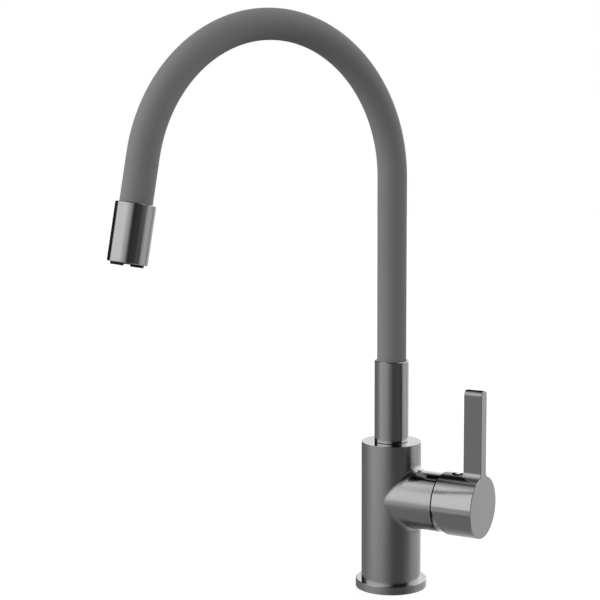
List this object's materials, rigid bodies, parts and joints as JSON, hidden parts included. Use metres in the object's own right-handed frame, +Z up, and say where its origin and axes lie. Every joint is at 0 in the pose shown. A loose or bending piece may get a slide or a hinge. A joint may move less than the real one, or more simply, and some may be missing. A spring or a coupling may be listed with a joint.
{
  "type": "kitchen mixer tap",
  "caption": "Single-lever kitchen mixer tap with a side lever and a tall swivelling gooseneck spout in bendable silicone, ending in an aerator.",
  "frame": {"origin": "centre of the base on the deck", "axes": "+Z up along the body, +X from the body along the mixing valve to its lever; the spout points 112 degrees clockwise from +X at rest"},
  "size_m": [0.1786, 0.2559, 0.4382],
  "materials": {
    "gunmetal": "satin brushed dark grey plating",
    "polished_gunmetal": "polished dark grey plating",
    "grey_silicone": "matte silicone",
    "black_rubber": "matte",
    "brass": "machined",
    "steel": "bright",
    "white_plastic": "moulded",
    "black_plastic": "moulded",
    "disc_ceramic": "lapped",
    "hose_pipe": "smooth"
  },
  "bodies": {
    "mixer": {"base_ring": "gunmetal", "base_gasket": "black_rubber", "mixer_body": "gunmetal", "inlet_base": "brass", "cartridge_base": "white_plastic", "port_seals": "black_rubber", "disc_seals": "black_rubber", "fixed_disc": "disc_ceramic", "cartridge_housing": "white_plastic", "cartridge_nut": "brass", "cover_ring": "polished_gunmetal", "nipple_clip": "steel", "slide_washer": "white_plastic"},
    "turret": {"stem_turret": "white_plastic", "stem_pin": "steel"},
    "disc_carrier": {"disc_driver": "white_plastic", "moving_disc": "disc_ceramic"},
    "lever": {"handle": "gunmetal", "cartridge_stem": "brass", "handle_screw": "steel", "handle_plug": "polished_gunmetal"},
    "spout_base": {"spout_collar": "gunmetal", "spout_nipple": "brass", "nipple_orings": "black_rubber", "neck_cup": "steel", "silicone_sleeve": "grey_silicone", "water_hose": "hose_pipe", "gooseneck_link_0": "steel"},
    "gooseneck_1": {"gooseneck_link_1": "steel"},
    "gooseneck_2": {"gooseneck_link_2": "steel"},
    "gooseneck_3": {"gooseneck_link_3": "steel"},
    "gooseneck_4": {"gooseneck_link_4": "steel"},
    "gooseneck_5": {"gooseneck_link_5": "steel"},
    "gooseneck_6": {"gooseneck_link_6": "steel"},
    "gooseneck_7": {"gooseneck_link_7": "steel"},
    "gooseneck_8": {"gooseneck_link_8": "steel"},
    "outlet": {"gooseneck_link_9": "steel", "outlet_sleeve": "gunmetal", "outlet_fitting": "brass", "outlet_nut": "brass", "aerator_seal": "black_rubber", "aerator_screen": "steel", "aerator_insert": "white_plastic", "aerator_grid": "black_plastic", "aerator_housing": "black_plastic"}
  },
  "joints": [
    {"name": "spout_swivel", "type": "hinge", "parent": "mixer", "child": "spout_base", "pos_m": [0, 0, 0.1143], "axis": [0, 0, 1], "continuous": true},
    {"name": "temperature_turn", "type": "hinge", "parent": "mixer", "child": "turret", "pos_m": [0.048, 0, 0.0713], "axis": [1, 0, 0], "range_deg": [-50, 50]},
    {"name": "lever_tilt", "type": "hinge", "parent": "turret", "child": "lever", "pos_m": [0.048, 0, 0.0713], "axis": [0, 1, 0], "range_deg": [0, 19]},
    {"name": "disc_slide", "type": "slide", "parent": "turret", "child": "disc_carrier", "axis": [0, 0, 1], "range_m": [0, 0.00553]},
    {"name": "spout_bend", "type": "hinge", "parent": "spout_base", "child": "gooseneck_1", "pos_m": [0, 0, 0.2123], "axis": [0.9262, -0.377, 0], "range_deg": [-4.5, 4.5], "deforming": ["silicone_sleeve", "water_hose"]},
    {"name": "spout_sway", "type": "hinge", "parent": "gooseneck_1", "child": "gooseneck_2", "pos_m": [0, 0, 0.26717], "axis": [-0.377, -0.9262, 0], "range_deg": [-15, 15], "deforming": ["silicone_sleeve", "water_hose"]},
    {"name": "spout_bend_2", "type": "hinge", "parent": "gooseneck_2", "child": "gooseneck_3", "pos_m": [-0.00005, -0.00011, 0.32205], "axis": [0.9262, -0.377, 0], "range_deg": [-4.5, 4.5], "deforming": ["silicone_sleeve", "water_hose"]},
    {"name": "spout_bend_3", "type": "hinge", "parent": "gooseneck_3", "child": "gooseneck_4", "pos_m": [-0.00602, -0.01479, 0.374], "axis": [0.9262, -0.377, 0], "range_deg": [-4.5, 4.5], "deforming": ["silicone_sleeve", "water_hose"]},
    {"name": "spout_bend_4", "type": "hinge", "parent": "gooseneck_4", "child": "gooseneck_5", "pos_m": [-0.02062, -0.05066, 0.41206], "axis": [0.9262, -0.377, 0], "range_deg": [-4.5, 4.5], "deforming": ["silicone_sleeve", "water_hose"]},
    {"name": "spout_bend_5", "type": "hinge", "parent": "gooseneck_5", "child": "gooseneck_6", "pos_m": [-0.04031, -0.09902, 0.427], "axis": [0.9262, -0.377, 0], "range_deg": [-4.5, 4.5], "deforming": ["silicone_sleeve", "water_hose"]},
    {"name": "spout_bend_6", "type": "hinge", "parent": "gooseneck_6", "child": "gooseneck_7", "pos_m": [-0.0603, -0.14812, 0.41518], "axis": [0.9262, -0.377, 0], "range_deg": [-4.5, 4.5], "deforming": ["silicone_sleeve", "water_hose"]},
    {"name": "spout_bend_7", "type": "hinge", "parent": "gooseneck_7", "child": "gooseneck_8", "pos_m": [-0.07573, -0.18602, 0.37948], "axis": [0.9262, -0.377, 0], "range_deg": [-4.5, 4.5], "deforming": ["silicone_sleeve", "water_hose"]},
    {"name": "spout_bend_8", "type": "hinge", "parent": "gooseneck_8", "child": "outlet", "pos_m": [-0.083, -0.20388, 0.32862], "axis": [0.9262, -0.377, 0], "range_deg": [-4.5, 4.5], "deforming": ["silicone_sleeve", "water_hose"]}
  ],
  "couplings": [
    {"joint": "disc_slide", "follows": "lever_tilt", "m_per_rad": 0.01669},
    {"joint": "spout_bend_2", "follows": "spout_bend", "ratio": 1},
    {"joint": "spout_bend_3", "follows": "spout_bend", "ratio": 1},
    {"joint": "spout_bend_4", "follows": "spout_bend", "ratio": 1},
    {"joint": "spout_bend_5", "follows": "spout_bend", "ratio": 1},
    {"joint": "spout_bend_6", "follows": "spout_bend", "ratio": 1},
    {"joint": "spout_bend_7", "follows": "spout_bend", "ratio": 1},
    {"joint": "spout_bend_8", "follows": "spout_bend", "ratio": 1}
  ]
}
